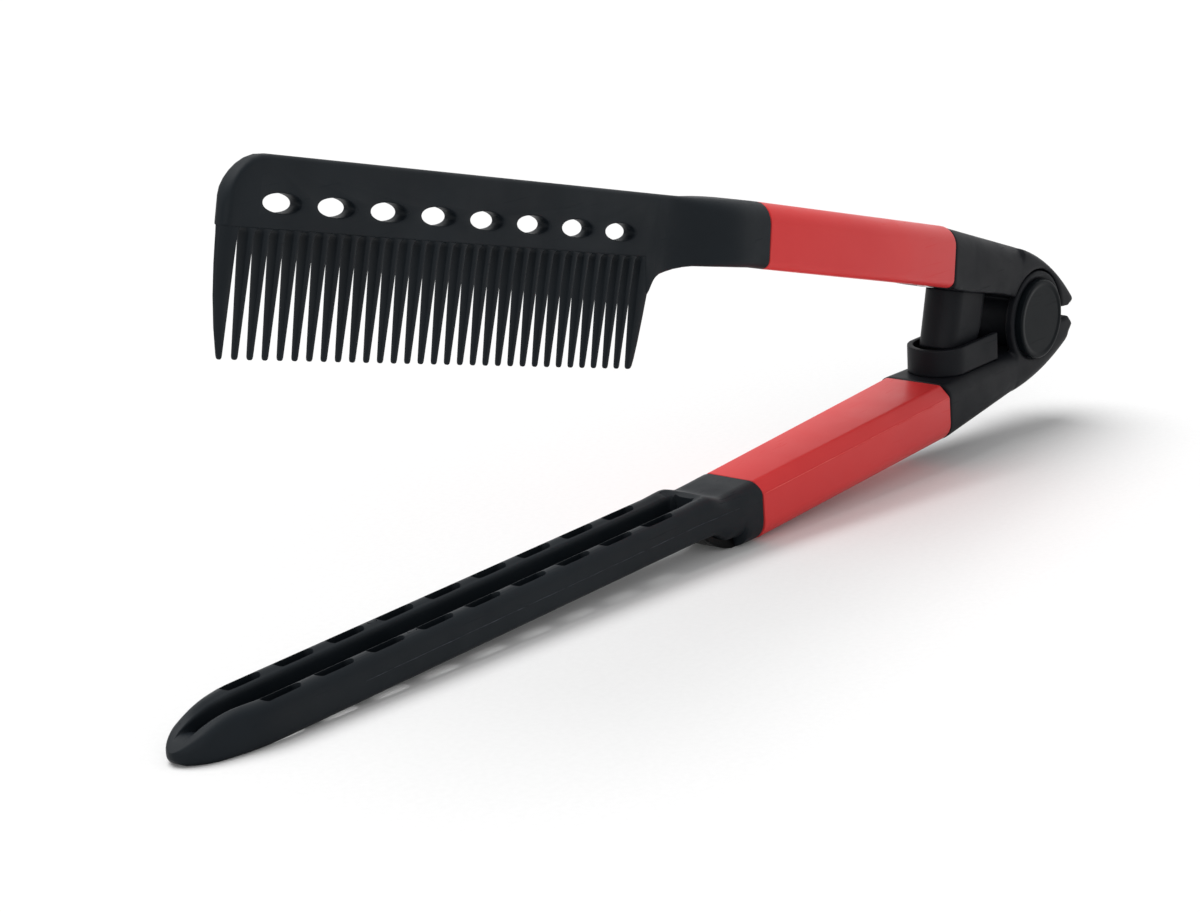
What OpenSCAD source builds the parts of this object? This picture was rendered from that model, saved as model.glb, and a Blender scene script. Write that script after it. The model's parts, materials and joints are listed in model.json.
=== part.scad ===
// Sprung hair straightening comb: a toothed comb arm closes into a vented jaw arm.
// Row frame: the tool rests on z = 0, +X runs from the tips to the hinge, Y is the pivot axis.
// Each arm is drawn in its own arm frame: the pivot is the origin, the arm runs along -X,
// so a place "reach" millimetres from the pivot has x = -reach.

/* [Both arms] */
// Width of the vented jaw, along the pivot axis
jaw_width = 13; // [12:0.5:14]
// Width of both arms at the hinge
hinge_width = 14.4; // [14:0.1:15]
// Width of both grips at their jaw end
grip_front_width = 14.8; // [14:0.1:16]
// Width of both grips at their hinge end
grip_back_width = 17; // [15:0.1:18]
// Angle between the arms at rest, held open by the spring
open_angle = 14.6; // [12:0.2:18]
// Angle between the arms when they are squeezed shut
closed_angle = 1.4; // [1.4:0.1:3]
// Distance from the pivot to the hinge end of both grips
grip_start = 36.4; // [36:0.2:38]
// Length of both grips
grip_length = 63; // [60:0.5:63.5]
// Width of the tang that carries a jaw through its grip
tang_width = 8.4; // [7:0.2:9]
// Thickness of both tangs
tang_height = 3.6; // [3:0.1:4]
// How far the tangs run on into the hinge casings
tang_reach = 15; // [13:0.5:17]

/* [Comb] */
// Number of teeth, with the two guard teeth
tooth_count = 32; // [20:1:40]
// Distance from tooth to tooth
tooth_pitch = 3.2; // [3:0.1:3.6]
// Length of a tooth
tooth_length = 18.7; // [14:0.1:19]
// Width of a tooth at its root, along the comb
tooth_root_width = 1.3; // [1:0.1:1.6]
// Width and depth of a tooth at its tip
tooth_tip = 0.8; // [0.6:0.1:1]
// Depth of a tooth at its root, across the comb
tooth_root_depth = 2.4; // [1.6:0.1:2.6]
// Extra width of a guard tooth on its outer side
guard_extra = 2; // [1:0.1:3]
// Distance from the pivot to the tooth next to the handle
tooth_start = 128.8; // [128:0.1:131]
// Height of the blade above the tooth roots
blade_height = 12; // [10:0.5:14]
// Thickness of the blade
blade_thickness = 3; // [2.8:0.1:3.6]
// Radius of the blade's free upper corner
blade_corner = 8.5; // [3:0.5:9]
// Height of the blade's top edge above the pivot
blade_top = 17.5; // [16:0.1:18]
// Number of air holes in the blade
hole_count = 8; // [4:1:8]
// Distance from air hole to air hole
hole_pitch = 11.8; // [10:0.1:12.6]
// Length of an air hole, along the comb
hole_length = 8.4; // [6:0.1:9]
// Height of an air hole
hole_height = 3; // [2:0.1:4]
// Distance from the pivot to the first air hole
hole_start = 136.4; // [135:0.1:138]
// Depth of the air holes below the blade's top edge
hole_drop = 7.1; // [6.5:0.1:8]

/* [Vented jaw] */
// Distance from the pivot to the tip of the jaw
jaw_reach = 241.2; // [240:0.2:248]
// Depth of the jaw's underside below the pivot
jaw_depth = 14.5; // [14:0.1:15]
// Depth of the jaw's two crests below the pivot
crest_depth = 6.9; // [6.4:0.1:7.2]
// Distance between the two crests
crest_spacing = 8.8; // [8:0.1:9]
// Depth of the channel floor below the pivot
channel_depth = 11.3; // [11:0.1:11.6]
// Width of the channel at its floor
channel_floor = 3; // [2.6:0.1:3.4]
// Width of the channel between the crests
channel_mouth = 7.4; // [7:0.1:7.6]
// Distance from the pivot to the handle end of the channel
channel_start = 113; // [112:0.5:118]
// Number of air slots in each row
slot_count = 9; // [5:1:9]
// Distance from air slot to air slot
slot_pitch = 11.8; // [10:0.1:11.9]
// Length of an air slot
slot_length = 7.9; // [5:0.1:9]
// Width of an air slot
slot_width = 1.9; // [1.4:0.1:2]
// Distance from the pivot to the first air slot
slot_start = 127.5; // [126:0.1:129]
// Length of the jaw's rounded nose
nose_length = 19; // [14:0.5:20]

/* [Grips] */
// Height of the comb arm's grip
upper_grip_height = 12; // [11.6:0.1:12.4]
// Height of the comb arm's grip underside above the pivot, at its hinge end
upper_grip_rise = 5; // [4.8:0.1:5.4]
// Slope of the comb arm's grip
upper_grip_slope = 0.9; // [0.6:0.1:1.4]
// Radius of the comb arm's upper edges
upper_edge = 3.8; // [2:0.1:4.2]
// Height of the jaw arm's grip
lower_grip_height = 11.6; // [11.2:0.1:12]
// Depth of the jaw arm's grip top below the pivot, at its hinge end
lower_grip_drop = 5.3; // [5.1:0.1:5.6]
// Slope of the jaw arm's grip
lower_grip_slope = 2.4; // [2:0.1:2.8]
// Radius of the jaw arm's upper edges
lower_edge = 2.6; // [1:0.1:3]
// Radius of the comb arm's underside edges
under_edge = 1.8; // [0.8:0.1:2]
// Radius of the jaw arm's underside edges
keel_edge = 4; // [2:0.1:4.2]
// Gap all round between a tang and the bore of its grip or casing
tang_gap = 0.05; // [0.02:0.01:0.1]

/* [Hinge] */
// Radius of the jaw casing's round hinge lugs
lug_radius = 10; // [9.6:0.1:10.2]
// Thickness of a hinge lug
lug_thickness = 1.8; // [1.6:0.1:2]
// Radius of the comb casing's hinge knuckle
knuckle_radius = 6.8; // [6:0.1:7.4]
// Gap between the round faces of the hinge that turn in each other
hinge_gap = 0.3; // [0.25:0.05:0.5]
// Radius of the pivot pin
pin_radius = 2; // [1.5:0.1:2.4]
// Radial running clearance of the pivot pin in its bush
pin_clearance = 0.05; // [0.02:0.01:0.09]
// Radius of the pin's head and of its retaining washer
pin_head_radius = 3.4; // [3:0.1:4]
// Thickness of the pin's head and of its retaining washer
pin_head = 0.6; // [0.4:0.1:0.8]
// Wall of the pin's bush
bush_wall = 1; // [0.6:0.1:1.4]
// Thickness of the thrust washers beside the knuckle
washer_thickness = 0.4; // [0.3:0.05:0.5]
// Side play of the knuckle and washers, on each side
side_play = 0.08; // [0.05:0.01:0.15]
// Radius of the pivot caps
cap_radius = 8.2; // [7:0.1:8.6]
// Height of the pivot caps above the lugs
cap_height = 1.2; // [1.2:0.1:2]
// Depth of the round seat that a pivot cap sits in
cap_sink = 0.5; // [0.3:0.1:0.6]
// Gap between a pivot cap and the wall of its seat
cap_gap = 0.4; // [0.3:0.1:0.6]
// Radius of a pivot cap's snap pegs
cap_peg = 0.7; // [0.5:0.1:0.9]

/* [Spring guard] */
// Radius of the spring post's round ends
post_radius = 4.2; // [4:0.1:4.4]
// Distance between the centres of the post's round ends
post_stretch = 6.8; // [5.4:0.1:7]
// Distance from the pivot to the post's middle
post_place = 21.8; // [21.4:0.1:22.2]
// Length of the post below the comb casing
post_length = 12; // [11:0.1:12.2]
// Wall of the post and of the spring cup
guard_wall = 1.2; // [1:0.1:1.4]
// Radius of the cup's round front, outside
cup_radius = 6.3; // [6.1:0.1:6.4]
// Distance from the pivot to the centre of the cup's round front
cup_place = 26.9; // [26.5:0.1:27.1]
// Distance from the pivot to the open back of the cup
cup_back = 14.2; // [13.8:0.1:14.6]
// Height of the cup's rim above the jaw casing's top
cup_height = 5.6; // [5:0.1:5.8]
// Outer radius of the return spring
spring_radius = 2.6; // [2.3:0.05:2.7]
// Diameter of the spring's wire
spring_wire = 0.7; // [0.5:0.05:0.8]
// Number of turns of the spring
spring_turns = 7; // [5:1:9]

/* [Foot and screws] */
// Distance from the jaw arm's grip to the lowest place of the rest foot
foot_offset = 2.4; // [2:0.1:3.4]
// Length of the rest foot
foot_length = 12.5; // [9:0.5:13]
// Width of the rest foot
foot_width = 8; // [7:0.5:9]
// Depth of the rest foot's sole below the pivot
foot_depth = 19.8; // [19.7:0.1:20.6]
// Radius of the rest foot's round sole, seen from the side
foot_radius = 16.5; // [15:0.5:20]
// Radius of the screw heads
screw_head_radius = 1.7; // [1.4:0.1:1.8]
// Height of the screw heads
screw_head = 1; // [0.8:0.1:1.2]
// Radius of the screw shanks
screw_radius = 0.9; // [0.7:0.1:1.1]

/* [Hidden] */
$fn = 64;

jaw_half_width = jaw_width / 2;
hinge_half = hinge_width / 2;
grip_taper = atan((grip_back_width - grip_front_width) / 2 / grip_length);
sleeve_end = 8;             // where the casings' sides become parallel
casing_taper = atan((grip_back_width - hinge_width) / 2 / (grip_start - sleeve_end));
seam = 0.15;                // half of the fine joint at each end of a grip
grip_end = grip_start + grip_length;
foot_place = grip_end + foot_offset;
sole_cut = 0.2;             // depth of the flats under the jaw's nose and the foot
nose_fall = 12;             // how far before its tip the jaw's top starts to fall
pad_place = jaw_reach - nose_fall; // the jaw touches the table there
foot_start = grip_end + 1.2; // hinge end of the rest foot
foot_cover = 0.6;           // how far the foot's pocket reaches into the block
rest_tilt = atan((foot_depth - jaw_depth) / (pad_place - foot_place));
pivot_x = foot_place * cos(rest_tilt) - foot_depth * sin(rest_tilt);
pivot_z = foot_place * sin(rest_tilt) + foot_depth * cos(rest_tilt) - sole_cut;
big = 400;                  // larger than the whole tool

// hinge stack, as distances from the middle plane
lug_inner = hinge_half - lug_thickness;
knuckle_half = lug_inner - washer_thickness - 2 * side_play;
bush_radius = pin_radius + pin_clearance + bush_wall;
head_sink = pin_head - 0.2; // the pin's ends stand 0.2 mm into the caps

// comb arm
tooth_tip_v = blade_top - blade_height - tooth_length;
root_v = blade_top - blade_height;
comb_end = tooth_start + (tooth_count - 1) * tooth_pitch + tooth_root_width / 2 + guard_extra;
tooth_gap = tooth_pitch - tooth_root_width;
upper_block_end = grip_end + 7.6; // where the handle starts to thin into the blade
upper_blend = 17;           // length of that thinning
upper_tang_v = 8.3;         // underside of the comb arm's tang
rear_edge = 1.6;            // radius of the comb casing's edges behind the pivot
upper_crown_radius = 48;    // round back of the comb arm's casing, seen from the side
upper_crown_place = 8;      // where that round starts
upper_crown_slope = 6;      // slope of the casing's back at that place
upper_crown_top = 14.1;     // height of the casing's back at that place

// jaw arm
casing_top = lower_grip_drop;
lower_keel_radius = 56;     // round underside of the jaw arm's casing, seen from the side
lower_keel_place = 6;       // where that round starts
lower_keel_slope = 5.5;     // slope of the casing's underside at that place
lower_keel_depth = 14.1;    // depth of the casing's underside at that place
nose_start = jaw_reach - nose_length;
toe_length = 5.5;           // length and height of the round underside of the nose
toe_height = 2.2;
nose_lean_reach = 6.7;      // distance from the tip to the middle of the nose's leaning sides
nose_drop = jaw_depth - toe_height - 0.8 - crest_depth; // fall of the jaw's top towards its tip
lower_tang_z = 3.7 - lower_grip_drop - lower_grip_height; // underside of the jaw arm's tang
slot_middle = crest_spacing / 2 + 0.05;
block_wave = grip_end + 4.6; // where the underside of the jaw's block starts to rise
block_swell = foot_depth - jaw_depth - 0.4; // how far the block hangs below the jaw
tang_screw_seat = lower_tang_z - 1.5; // seat of the screw under the jaw arm's tang
tang_screw_place = grip_start - 2.9; // distance from the pivot to both of these screws

// spring guard
casing_under = 4.5;         // height of the comb casing's flat underside
upper_screw_seat = casing_under + 1.1; // seat of the screw under the comb arm's tang
post_bottom_v = casing_under - post_length;
post_front = post_place + post_stretch / 2 + post_radius;
cup_floor = post_front * sin(closed_angle) + post_bottom_v * cos(closed_angle) - 0.8;
cup_seat = cup_floor - 0.8;
cup_rim = cup_height - casing_top;
spring_place = 22.8;        // middle of the spring's foot, in the jaw arm
spring_top_v = casing_under - 1.4;
spring_top_u = 23;          // middle of the spring's top seat, in the comb arm

// places a piece drawn in the jaw arm's frame into the row frame
module jaw_arm() {
    translate([pivot_x, 0, pivot_z]) rotate([0, -rest_tilt, 0]) children();
}

// places a piece drawn in the comb arm's frame into the row frame
module comb_arm() {
    jaw_arm() rotate([0, open_angle, 0]) children();
}

// turns an outline of [reach, height] points into a slab across the arm
module slab(width) {
    translate([0, width / 2, 0]) rotate([90, 0, 0]) linear_extrude(width) mirror([1, 0]) children();
}

// turns an outline of [side, height] points into a bar along the arm, from reach a to reach b
module bar(a, b) {
    translate([-b, 0, 0]) rotate([90, 0, 90]) linear_extrude(b - a) children();
}

// turns an outline of [reach, side] points into a block from height a to height b
module plan(a, b) {
    translate([0, 0, a]) linear_extrude(b - a) mirror([1, 0]) children();
}

// points of an arc about [cx, cy]
function arc(cx, cy, r, a, b, n = 8) =
    [for (i = [0:n]) [cx + r * cos(a + (b - a) * i / n), cy + r * sin(a + (b - a) * i / n)]];

// points of an elliptical arc about [cx, cy]
function oval(cx, cy, rx, ry, a, b, n = 8) =
    [for (i = [0:n]) let (t = a + (b - a) * i / n) [cx + rx * cos(t), cy + ry * sin(t)]];

// smooth step from 0 to 1
function ease(t) = t * t * (3 - 2 * t);

// one side of a long beam, in [side, height]: flat top at 0, a straight side and a round edge
module beam_half(half, edge) {
    translate([edge - half, -big / 8]) square([big / 8, big / 8]);
    translate([-half, -big / 8]) square([2 * edge, big / 8 - edge]);
    translate([edge - half, -edge]) circle(edge);
}

// a long beam with rounded top edges: its top passes through [reach, height] and falls
// toward the pivot by slope; its sides close in toward the pivot by taper
module crown(reach, height, half, slope, taper, edge) {
    translate([-reach, 0, height]) rotate([0, slope, 0]) intersection_for(side = [0, 1])
        mirror([0, side, 0]) rotate([0, 0, taper])
            bar(-big / 2, big / 2) beam_half(half, edge);
}

// the same beam upside down
module keel(reach, depth, half, slope, taper, edge) {
    mirror([0, 0, 1]) crown(reach, depth, half, slope, taper, edge);
}

// a disc with rounded rim edges, centred under [reach, height]; the rim has that slope there
module round_crown(reach, height, half, slope, radius, edge) {
    translate([-reach - radius * sin(slope), 0, height - radius * cos(slope)]) rotate([90, 0, 0])
        rotate_extrude($fn = 180) intersection() {
            translate([0, -half]) square([radius, 2 * half]);
            union() {
                translate([0, -half]) square([radius - edge, 2 * half]);
                translate([0, edge - half]) square([radius, 2 * (half - edge)]);
                for (side = [-1, 1]) translate([radius - edge, side * (half - edge)]) circle(edge);
            }
        }
}

// a round-ended slot outline along the arm, between two centres
module round_slot(a, b, r) {
    translate([a, 0]) circle(r);
    translate([b, 0]) circle(r);
    translate([min(a, b), -r]) square([abs(b - a), 2 * r]);
}

// frames of the two grips: the grip's length starts at 0 and runs along -X
module lower_grip_frame() {
    translate([-grip_start, 0, -lower_grip_drop]) rotate([0, -lower_grip_slope, 0]) children();
}
module upper_grip_frame() {
    translate([-grip_start, 0, upper_grip_rise]) rotate([0, upper_grip_slope, 0]) children();
}

// a tang in its arm's frame, grown by gap all round, between two reaches
module tang(bottom, a, b, gap) {
    translate([-b, -tang_width / 2 - gap, bottom - gap])
        cube([b - a, tang_width + 2 * gap, tang_height + 2 * gap]);
}
module lower_tang(gap, a, b) {
    rotate([0, -lower_grip_slope, 0]) tang(lower_tang_z + grip_start * sin(lower_grip_slope), a, b, gap);
}
module upper_tang(gap, a, b) {
    rotate([0, upper_grip_slope, 0]) tang(upper_tang_v - grip_start * sin(upper_grip_slope), a, b, gap);
}

// a screw with its head's seat at the origin and its shank along +Z
module screw(length) {
    translate([0, 0, -screw_head]) cylinder(h = screw_head, r = screw_head_radius);
    cylinder(h = length, r = screw_radius);
}

// ---- comb arm ----

// one tooth seen from the side; a guard tooth has extra width on its bowed outer side
module tooth_outline(left_extra, right_extra) {
    steps = 8;
    half = function (t) (tooth_tip + (tooth_root_width - tooth_tip) * t) / 2;
    height = function (t) tooth_tip_v + tooth_length * t;
    polygon(concat(
        [[-tooth_tip / 4, tooth_tip_v]],
        [[tooth_tip / 4, tooth_tip_v]],
        [for (i = [0:steps]) let (t = max(i / steps, 0.02))
            [half(t) + left_extra * sqrt(t), height(t)]],
        [[tooth_root_width / 2 + left_extra, root_v + tooth_gap]],
        [[-tooth_root_width / 2 - right_extra, root_v + tooth_gap]],
        [for (i = [steps:-1:0]) let (t = max(i / steps, 0.02))
            [-half(t) - right_extra * sqrt(t), height(t)]]));
}

// blade and teeth seen from the side, in [reach, height]
module comb_outline() {
    difference() {
        polygon(concat(
            [[upper_block_end, root_v], [comb_end, root_v]],
            arc(comb_end - blade_corner, blade_top - blade_corner, blade_corner, 0, 90, 10),
            [[upper_block_end, blade_top]]));
        for (i = [0:tooth_count - 2])
            translate([tooth_start + (i + 0.5) * tooth_pitch, root_v]) circle(tooth_gap / 2, $fn = 24);
        for (i = [0:hole_count - 1])
            translate([hole_start + i * hole_pitch, blade_top - hole_drop])
                polygon(oval(0, 0, hole_length / 2, hole_height / 2, 0, 337.5, 15));
    }
    for (i = [0:tooth_count - 1])
        translate([tooth_start + i * tooth_pitch, 0])
            tooth_outline(i == tooth_count - 1 ? guard_extra : 0, i == 0 ? guard_extra : 0);
    // the underside's sweep from the last guard tooth into the handle
    translate([tooth_start, root_v])
        polygon([[0, 1], [0, -4], [-2.3, -4], [-2.6, -3], [-3.3, -2], [-4.6, -1.3], [-7.4, -0.7],
            [-11.7, 0], [-11.7, 1]]);
}

// blade and teeth seen from the end, in [side, height]
module comb_profile() {
    t = blade_thickness / 2;
    r = tooth_root_depth / 2;
    e = tooth_tip / 2;
    polygon(concat(
        [[e * 0.6, tooth_tip_v], [e, tooth_tip_v + 0.3], [r, root_v - 0.4], [t, root_v + 0.6]],
        arc(t - 1, blade_top - 1, 1, 0, 90, 5),
        arc(1 - t, blade_top - 1, 1, 90, 180, 5),
        [[-t, root_v + 0.6], [-r, root_v - 0.4], [-e, tooth_tip_v + 0.3], [-e * 0.6, tooth_tip_v]]));
}

// half width of the comb arm where the handle thins into the blade
function arm_half(reach) = let (start = grip_front_width / 2)
    start + (blade_thickness / 2 - start) * ease(min(1, max(0, (reach - upper_block_end) / upper_blend)));

module comb() {
    color([0.14, 0.15, 0.17])
    comb_arm() {
        intersection() {
            slab(blade_thickness + 1) comb_outline();
            bar(upper_block_end, big) comb_profile();
        }
        // the handle, thinning into the blade
        intersection() {
            upper_grip_frame() grip_beam(upper_grip_height, upper_edge, under_edge);
            slab(big) polygon([
                [grip_end + seam, 0], [grip_end + seam, blade_top + 12], [grip_end + 4, blade_top + 12],
                [grip_end + 4.1, blade_top + 0.5], [grip_end + 12, blade_top + 0.3],
                [upper_block_end + 10.4, blade_top], [upper_block_end + upper_blend + 0.4, blade_top],
                [upper_block_end + upper_blend + 0.4, root_v], [grip_end + 14, root_v + 0.2],
                [grip_end + 7, root_v + 0.6], [grip_end + 3, root_v + 0.6], [grip_end + 3, 0]]);
            plan(-big, big) polygon(concat(
                [[grip_end - 1, -grip_front_width], [grip_end - 1, grip_front_width]],
                [for (i = [0:12]) let (s = upper_block_end + upper_blend * i / 12) [s, arm_half(s)]],
                [for (i = [12:-1:0]) let (s = upper_block_end + upper_blend * i / 12) [s, -arm_half(s)]]));
        }
        difference() {
            upper_tang(0, tang_reach, grip_end + 1);
            upper_screw_holes();
        }
    }
}

// a grip's body in its own frame, with no ends
module grip_beam(height, top_edge, low_edge) {
    half = grip_back_width / 2;
    intersection() {
        crown(0, height, half, 0, -grip_taper, top_edge);
        keel(0, 0, half, 0, -grip_taper, low_edge);
    }
}

module upper_grip() {
    color([0.78, 0.2, 0.2])
    comb_arm() difference() {
        upper_grip_frame() intersection() {
            grip_beam(upper_grip_height, upper_edge, under_edge);
            translate([seam - grip_length, -big / 2, -big / 2]) cube([grip_length - 2 * seam, big, big]);
        }
        upper_tang(tang_gap, 0, big);
    }
}

// side outline of the comb arm's hinge casing, in [reach, height]
module upper_casing_outline() {
    polygon([[grip_start - seam, upper_grip_rise - 0.1], [grip_start - seam, 30], [-20, 30], [-20, 8],
        [-14.6, 5.7], [-15.1, 4.9], [-12.9, 3.1],
        [-knuckle_radius, casing_under - 2.2], [0, 3.4], [8, 3.9], [post_place - 7.7, casing_under],
        [post_place + 8, casing_under]]);
}

module upper_screw_holes() {
    translate([-spring_top_u, 0, 0]) cylinder(h = upper_tang_v + 2.5, r = screw_radius);
    translate([-tang_screw_place, 0, 0]) cylinder(h = upper_screw_seat + 5.3, r = screw_radius);
}

module upper_casing() {
    back = grip_back_width / 2;
    color([0.14, 0.15, 0.16])
    comb_arm() difference() {
        union() {
            difference() {
                intersection() {
                    slab(big) upper_casing_outline();
                    union() {
                        intersection() {
                            crown(grip_start, upper_grip_rise + upper_grip_height - 0.2, back,
                                upper_crown_slope - 1, casing_taper, upper_edge);
                            bar(sleeve_end - 1, grip_start) square(big, center = true);
                        }
                        intersection() {
                            round_crown(upper_crown_place, upper_crown_top, hinge_half,
                                upper_crown_slope, upper_crown_radius, rear_edge);
                            bar(-20, sleeve_end) square(big, center = true);
                        }
                    }
                }
                for (side = [-1, 1])
                    translate([0, side * (knuckle_half + big / 2), 0])
                        rotate([90, 0, 0])
                            cylinder(h = big, r = lug_radius + hinge_gap, center = true, $fn = 96);
            }
            rotate([90, 0, 0]) cylinder(h = 2 * knuckle_half, r = knuckle_radius, center = true);
        }
        rotate([90, 0, 0]) cylinder(h = hinge_width, r = bush_radius, center = true);
        upper_tang(tang_gap, tang_reach - 0.2, grip_start + 1);
        // seat of the spring post
        translate([0, 0, casing_under - 1])
            linear_extrude(1 + 2)
                round_slot(-post_place - post_stretch / 2, -post_place + post_stretch / 2,
                    post_radius - guard_wall + 0.01);
        translate([-spring_top_u, 0, 0]) cylinder(h = upper_tang_v, r = screw_radius + 0.15);
        // bore and recess of the screw that holds the comb's tang
        translate([-tang_screw_place, 0, 0]) {
            cylinder(h = upper_tang_v, r = screw_radius);
            cylinder(h = upper_screw_seat, r = screw_head_radius + 0.3);
        }
    }
}

module spring_post() {
    seat = 2;
    color([0.16, 0.17, 0.18])
    comb_arm() difference() {
        union() {
            intersection() {
                translate([0, 0, post_bottom_v])
                    linear_extrude(post_length)
                        round_slot(-post_place - post_stretch / 2, -post_place + post_stretch / 2,
                            post_radius);
                // the foot of the post is rounded on the side of the pivot
                slab(big) polygon(concat(
                    [[post_front + 1, 20], [post_front + 1, post_bottom_v]],
                    arc(post_place + 1.6, post_bottom_v + 6.6, 6.6, 270, 205, 6),
                    [[post_place - post_stretch - post_radius, 20]]));
            }
            translate([0, 0, casing_under - 0.5])
                linear_extrude(0.5 + seat)
                    round_slot(-post_place - post_stretch / 2, -post_place + post_stretch / 2,
                        post_radius - guard_wall);
        }
        translate([0, 0, post_bottom_v - 1])
            linear_extrude(1 + spring_top_v - post_bottom_v)
                round_slot(-post_place - post_stretch / 2, -post_place + post_stretch / 2,
                    post_radius - guard_wall);
        translate([-spring_top_u, 0, 0]) cylinder(h = 20, r = screw_radius);
    }
}

module post_screw() {
    color("silver")
    comb_arm() translate([-spring_top_u, 0, spring_top_v]) screw(upper_tang_v + 2.4 - spring_top_v);
}

module upper_tang_screw() {
    color("silver")
    comb_arm() translate([-tang_screw_place, 0, upper_screw_seat]) screw(5.2);
}

module hinge_bush() {
    color("ivory")
    comb_arm() rotate([90, 0, 0]) difference() {
        cylinder(h = 2 * knuckle_half, r = bush_radius, center = true);
        cylinder(h = hinge_width, r = pin_radius + pin_clearance, center = true);
    }
}

module washer(side) {
    middle = knuckle_half + side_play + washer_thickness / 2;
    color("silver")
    comb_arm() translate([0, side * middle, 0]) rotate([90, 0, 0]) difference() {
        cylinder(h = washer_thickness, r = knuckle_radius - 1.2, center = true);
        cylinder(h = 1, r = pin_radius + pin_clearance, center = true);
    }
}
module near_washer() { washer(-1); }
module far_washer() { washer(1); }

// ---- jaw arm ----

// half of the jaw's section, in [side, height], from the underside to the channel
function jaw_half() = concat(
    arc(jaw_half_width - 1.6, 1.6 - jaw_depth, 1.6, -90, 0, 5),
    oval(crest_spacing / 2, -crest_depth - 2.7, jaw_half_width - crest_spacing / 2, 2.7, 0, 90, 6),
    [[channel_mouth / 2, -crest_depth - 0.35], [channel_floor / 2, -channel_depth + 0.3],
     [channel_floor / 2 - 0.6, -channel_depth]]);

module jaw_section() {
    half = jaw_half();
    last = len(half) - 1;
    polygon(concat(half, [for (i = [last:-1:0]) [-half[i][0], half[i][1]]]));
}

// side outline of the jaw, in [reach, height]
module jaw_outline() {
    steps = 8;
    polygon(concat(
        [[channel_start - 3, -jaw_depth], [jaw_reach - toe_length, -jaw_depth]],
        oval(jaw_reach - toe_length, -jaw_depth + toe_height, toe_length, toe_height, -70, 0, 5),
        [for (i = [steps:-1:0]) let (t = i / steps)
            [pad_place + nose_fall * t, -crest_depth - nose_drop * t * t]],
        [[channel_start + 3, -crest_depth], [channel_start + 1, -crest_depth + 0.1]],
        [for (i = [1:steps]) let (t = i / steps)
            [channel_start + 1 - 5 * t, -crest_depth + 0.1 - 2.3 * ease(t)]]));
}

// side outline of the block between the jaw and its grip
module block_outline() {
    steps = 8;
    polygon(concat(
        [[grip_end + seam, 0], [grip_end + seam, -jaw_depth - block_swell]],
        // its underside keeps the grip's depth and then rises in a wave to the jaw's underside
        [for (i = [0:steps]) let (t = i / steps)
            [block_wave + 8.8 * t, -jaw_depth - 0.1 - (block_swell - 0.1) * (1 - ease(t))]],
        [[block_wave + 14.5, -jaw_depth + 0.8], [channel_start + 6, -channel_depth],
         [channel_start - 1, -crest_depth - 1.2], [channel_start - 1, 0]]));
}

// plan of the jaw and its block, in [reach, side]
module jaw_plan() {
    steps = 8;
    swell = grip_front_width / 2 - jaw_half_width;
    near = [for (i = [0:steps]) let (t = i / steps)
        [grip_end - 1 + 22 * t, -jaw_half_width - swell * (1 - ease(t))]];
    polygon(concat(near, oval(nose_start, 0, nose_length, jaw_half_width, -90, 90, 20),
        [for (i = [steps:-1:0]) [near[i][0], -near[i][1]]]));
}

module foot_outline() {
    intersection() {
        translate([foot_start, -foot_depth]) square([foot_length, foot_depth - jaw_depth + foot_cover]);
        translate([foot_place, foot_radius - foot_depth]) circle(foot_radius, $fn = 120);
    }
}

module foot_pocket() {
    slab(foot_width) translate([foot_start, -foot_depth - 1])
        square([foot_length, foot_depth - jaw_depth + 1 + foot_cover]);
}

// cuts that lean the upper sides of the nose inward
module nose_sides() {
    for (side = [0, 1]) mirror([0, side, 0])
        translate([nose_lean_reach - jaw_reach, 3.75, -crest_depth - 1.4]) rotate([0, 0, 16]) rotate([20, 0, 0])
            translate([-nose_length, 0, -nose_length]) cube([2 * nose_length, nose_length, 2 * nose_length]);
}

module floor_cut() {
    translate([-big, -big / 2, -big]) cube([2 * big, big, big]);
}

module lower_jaw() {
    color([0.15, 0.16, 0.17])
    difference() {
        jaw_arm() {
            difference() {
                union() {
                    intersection() {
                        slab(big) jaw_outline();
                        plan(-big, big) jaw_plan();
                        bar(channel_start - 5, big) jaw_section();
                    }
                    intersection() {
                        slab(big) block_outline();
                        plan(-big, big) jaw_plan();
                        lower_grip_frame() translate([0, 0, -lower_grip_height])
                            grip_beam(lower_grip_height, lower_edge, keel_edge);
                    }
                }
                // the channel's round end
                translate([-channel_start - 3.4, 0, -channel_depth + 0.6]) cylinder(h = 10, r = 2.2);
                for (side = [-1, 1], i = [0:slot_count - 1])
                    translate([-slot_start - i * slot_pitch, side * slot_middle, -30])
                        linear_extrude(30)
                            round_slot(-(slot_length - slot_width) / 2, (slot_length - slot_width) / 2,
                                slot_width / 2, $fn = 20);
                foot_pocket();
                nose_sides();
            }
            difference() {
                lower_tang(0, tang_reach + 5, grip_end + 0.8);
                lower_screw_holes();
            }
        }
        floor_cut();
    }
}

module lower_screw_holes() {
    translate([-spring_place, 0, -20]) cylinder(h = 20, r = screw_radius);
    translate([-tang_screw_place, 0, -20]) cylinder(h = 10, r = screw_radius);
}

module lower_grip() {
    color([0.78, 0.22, 0.21])
    jaw_arm() difference() {
        lower_grip_frame() intersection() {
            translate([0, 0, -lower_grip_height]) grip_beam(lower_grip_height, lower_edge, keel_edge);
            translate([seam - grip_length, -big / 2, -big / 2]) cube([grip_length - 2 * seam, big, big]);
        }
        lower_tang(tang_gap, 0, big);
    }
}

// side outline of the jaw arm's hinge casing, in [reach, height]
module lower_casing_outline() {
    polygon([[grip_start - seam, -lower_grip_drop], [grip_start - seam, -30], [-13.4, -30], [-13.4, -5.9],
        [-14.9, -4.4], [-13, -2.2], [-knuckle_radius, -casing_top + 1.8], [0, -casing_top]]);
}

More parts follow.
